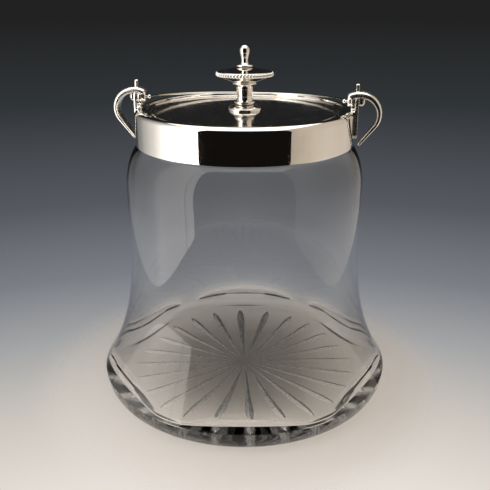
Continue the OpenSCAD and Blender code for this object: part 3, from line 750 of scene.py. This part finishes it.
makePiece("bowHandle", bowParts(handleSettings), "handle", ["bow_handle"], wireSilver)

# a low dome on a short straight edge, turned about the pin
headRadius, headLength = rivetBox[1][1], rivetBox[1][0] - rivetBox[0][0]
headArc = arcPoints((0.45 * headLength, 0), (0.55 * headLength, headRadius), 90, 2, 12)
headAlong = np.concatenate([[0, 0.12 * headLength], headArc[:, 0]]) + rivetBox[0][0]
headSize = np.concatenate([[headRadius * 0.9, headRadius], headArc[:, 1]])
headLine = np.stack([headAlong, 0 * headAlong, 0 * headAlong + handleSettings["pivotHeight"]], 1)
headSurface = tubeRows(headLine, np.tile([1.0, 0, 0], (len(headAlong), 1)), headSize,
                       handleSettings["headColumns"])
for sideName, place in (("right", lambda p: p), ("left", mirrored)):
    makePiece("rivetHead" + sideName.capitalize(), [gridFaces(place(headSurface), caps=True)], "handle",
              ["rivet_head_" + sideName], wireSilver)
print("handle made")

# the hidden CAD nodes keep their shape and get a finish of their own
for node, material in (("collar_cement", plaster), ("knob_stud", dullBrass), ("knob_washer", dullBrass),
                       ("knob_nut", dullBrass)):
    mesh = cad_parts[node].data
    mesh.materials.clear()
    mesh.materials.append(material)

# stage: pale floor that fades into a graduated backdrop, light tent and camera

stageSettings = {"floorSize": 0.6, "floorSolid": 0.077, "floorFade": 0.118,
                 # jarShade: painted shade under the jar, as the tone at the middle and the radius in metres
                 # where it ends
                 "jarShade": (0.47, 0.056), "toneReach": 0.085,
                 # floorNear to floorFar over toneReach: painted shade, the floor darker towards the back of
                 # the stage
                 "floorNear": (0.82, 0.78, 0.74, 1), "floorFar": (0.50, 0.485, 0.475, 1),
                 "tentHalfWidth": 0.214, "tentFront": -0.228, "tentBack": 0.241, "tentHeight": 0.43,
                 "leftWall": ((0.0, 2.8), (0.10, 2.6), (0.109, 0.8), (0.118, 2.8), (0.36, 2.2), (0.44, 1.07),
                              (0.52, 0.72), (0.62, 0.50), (0.68, 0.42), (0.77, 0.25), (1.0, 0.10)),
                 "leftWallTone": (1.0, 0.95, 0.90),
                 "rightWall": ((0.0, 0.46), (0.3, 0.57), (0.7, 0.55), (1.0, 0.38)),
                 "rightWallTone": (1.0, 0.86, 0.71),
                 "ceiling": ((0.0, 1.7), (1.0, 1.7)), "ceilingTone": (1.0, 0.98, 0.95),
                 "backdrop": ((0.0, (0.82, 0.76, 0.70)), (0.284, (0.80, 0.745, 0.69)),
                              (0.35, (0.62, 0.575, 0.53)), (0.42, (0.375, 0.38, 0.385)),
                              (0.485, (0.198, 0.209, 0.234)), (0.565, (0.094, 0.10, 0.115)),
                              (0.68, (0.0300, 0.0355, 0.0392)), (0.77, (0.0160, 0.0160, 0.0165)),
                              (1.0, (0.014, 0.014, 0.0145))),
                 "backdropSpan": (-1.0, 0.25), "ambient": 0.08, "room": (0.006, 0.005, 0.0045, 1),
                 "roomThroughGlass": (0.26, 0.25, 0.235, 1), "roomBlend": -0.35}
cameraSettings = {"place": (0.0002, -0.320, 0.195), "pitch": 21.03, "lens": 48.49, "sensor": 36,
                  "clipStart": 0.01}
photoTurn = math.radians(9)  # the photograph looks at the lugs from a little to the right of square
backwards = (-math.sin(photoTurn), math.cos(photoTurn), 0)  # level, towards the back of the stage


def fromPhoto(place):
    # a point given as the camera sees it, x to its right and y away from it, turned into the part's frame
    c, s = math.cos(photoTurn), math.sin(photoTurn)
    return (c * place[0] - s * place[1], s * place[0] + c * place[1], place[2])


def reachBack(tree, vector):
    # how far a place or direction reaches towards the back of the stage, as a dot product
    dot = addNode(tree, "ShaderNodeVectorMath", {0: vector, 1: backwards}, operation="DOT_PRODUCT")
    return dot.outputs["Value"]


def floorMaterial(s):
    # opaque and pale, with painted shade under the jar and painted shade falling off towards the back, and
    # fading with distance into the backdrop's gradient
    material, tree, shader = newMaterial("paleFloor")
    shader.inputs["Roughness"].default_value = 0.9
    place = addNode(tree, "ShaderNodeTexCoord").outputs["Object"]
    # painted shade: the floor's colour darkens from floorNear to floorFar towards the back of the stage
    tone = remap(tree, reachBack(tree, place), -s["toneReach"], s["toneReach"], 0.0, 1.0)
    distance = addNode(tree, "ShaderNodeVectorMath", {0: place}, operation="LENGTH").outputs["Value"]
    # painted shade: the floor darkens towards the jar's middle, to jarShade's tone at the centre, back to
    # full at its radius
    shade = remap(tree, distance, 0.0, s["jarShade"][1], s["jarShade"][0], 1.0)
    paperWithBackShade = mixColor(tree, tone, s["floorNear"], s["floorFar"])
    tree.links.new(mixColor(tree, shade, (0, 0, 0, 1), paperWithBackShade), shader.inputs["Base Color"])
    fade = addNode(tree, "ShaderNodeMapRange", {"Value": distance, "From Min": s["floorSolid"],
                                                "From Max": s["floorFade"], "To Min": 0.0, "To Max": 1.0},
                   interpolation_type="SMOOTHSTEP").outputs["Result"]
    clear = addNode(tree, "ShaderNodeBsdfTransparent")
    mix = addNode(tree, "ShaderNodeMixShader", {0: fade, 1: shader.outputs[0], 2: clear.outputs[0]})
    tree.links.new(mix.outputs[0], tree.nodes["Material Output"].inputs["Surface"])
    return material


half = stageSettings["floorSize"] / 2
floorMesh = bpy.data.meshes.new("floor")
corners = [(-half, -half, 0), (half, -half, 0), (half, half, 0), (-half, half, 0)]
floorMesh.from_pydata(corners, [], [(0, 1, 2, 3)])
floorMesh.materials.append(floorMaterial(stageSettings))
floor = bpy.data.objects.new("floor", floorMesh)
floor.location.z = -0.0001  # just clear of the foot
bpy.context.scene.collection.objects.link(floor)


def areaLamp(name, centre, facing, width, height, stops, color):
    # a rectangle of soft light whose radiance follows the stops (place along its second side, radiance)
    data = bpy.data.lights.new(name, "AREA")
    data.shape, data.size, data.size_y = "RECTANGLE", width, height
    data.color = color
    peak = max(value for _, value in stops)
    data.energy = peak * math.pi * width * height
    data.use_nodes = True
    tree = data.node_tree
    place = addNode(tree, "ShaderNodeNewGeometry").outputs["Parametric"]
    along = addNode(tree, "ShaderNodeSeparateXYZ", {0: place}).outputs["Y"]
    strength = colorRamp(tree, along, [(position, (value / peak,) * 3) for position, value in stops])
    tree.links.new(strength, tree.nodes["Emission"].inputs["Strength"])
    lamp = bpy.data.objects.new(name, data)
    lamp.location = fromPhoto(centre)
    lamp.rotation_euler = (facing[0], facing[1], photoTurn)
    lamp.visible_camera = False
    lamp.visible_transmission = False  # no white panels through the glass in side views
    bpy.context.scene.collection.objects.link(lamp)


s = stageSettings
quarter = math.pi / 2
sideLength, middle = s["tentBack"] - s["tentFront"], (s["tentFront"] + s["tentBack"]) / 2
for name, hand in (("leftWall", -1), ("rightWall", 1)):
    areaLamp(name, (hand * s["tentHalfWidth"], middle, s["tentHeight"] / 2), (0, hand * quarter, 0),
             s["tentHeight"], sideLength, s[name], s[name + "Tone"])
areaLamp("ceiling", (0, middle, s["tentHeight"]), (0, 0, 0), 2 * s["tentHalfWidth"], sideLength, s["ceiling"],
         s["ceilingTone"])


def backdropWorld(s):
    # a graduated sheet for camera, glossy and transmission rays: its tone follows the ray's height; in
    # front of the stage mirrors see a dark room and glass a mid grey; a plain grey lights matt surfaces
    world = bpy.data.worlds.new("backdrop")
    bpy.context.scene.world = world
    world.use_nodes = True
    tree = world.node_tree
    back = tree.nodes["Background"]
    direction = addNode(tree, "ShaderNodeTexCoord").outputs["Generated"]
    parts = addNode(tree, "ShaderNodeSeparateXYZ", {0: direction})
    sheet = colorRamp(tree, remap(tree, parts.outputs["Z"], *s["backdropSpan"], 0.0, 1.0), s["backdrop"])
    rays = addNode(tree, "ShaderNodeLightPath")
    beyond = remap(tree, reachBack(tree, direction), s["roomBlend"], 0.0, 0.0, 1.0)
    room = mixColor(tree, rays.outputs["Is Transmission Ray"], s["room"], s["roomThroughGlass"])
    shown = mixColor(tree, rays.outputs["Is Glossy Ray"], sheet, mixColor(tree, beyond, room, sheet))
    clearView = combine(tree, "MAXIMUM", rays.outputs["Is Camera Ray"], rays.outputs["Is Glossy Ray"])
    seen = combine(tree, "MAXIMUM", clearView, rays.outputs["Is Transmission Ray"])
    ambient = (s["ambient"], s["ambient"], s["ambient"] * 1.02, 1)
    tree.links.new(mixColor(tree, seen, ambient, shown), back.inputs["Color"])


backdropWorld(stageSettings)

camera = bpy.data.objects.new("camera", bpy.data.cameras.new("camera"))
camera.location = fromPhoto(cameraSettings["place"])
camera.rotation_euler = (math.radians(90 - cameraSettings["pitch"]), 0, photoTurn)
camera.data.lens = cameraSettings["lens"]
camera.data.sensor_width = cameraSettings["sensor"]
camera.data.clip_start = cameraSettings["clipStart"]
bpy.context.scene.collection.objects.link(camera)
bpy.context.scene.camera = camera
bpy.context.scene.view_settings.view_transform = "Standard"
print("stage made")
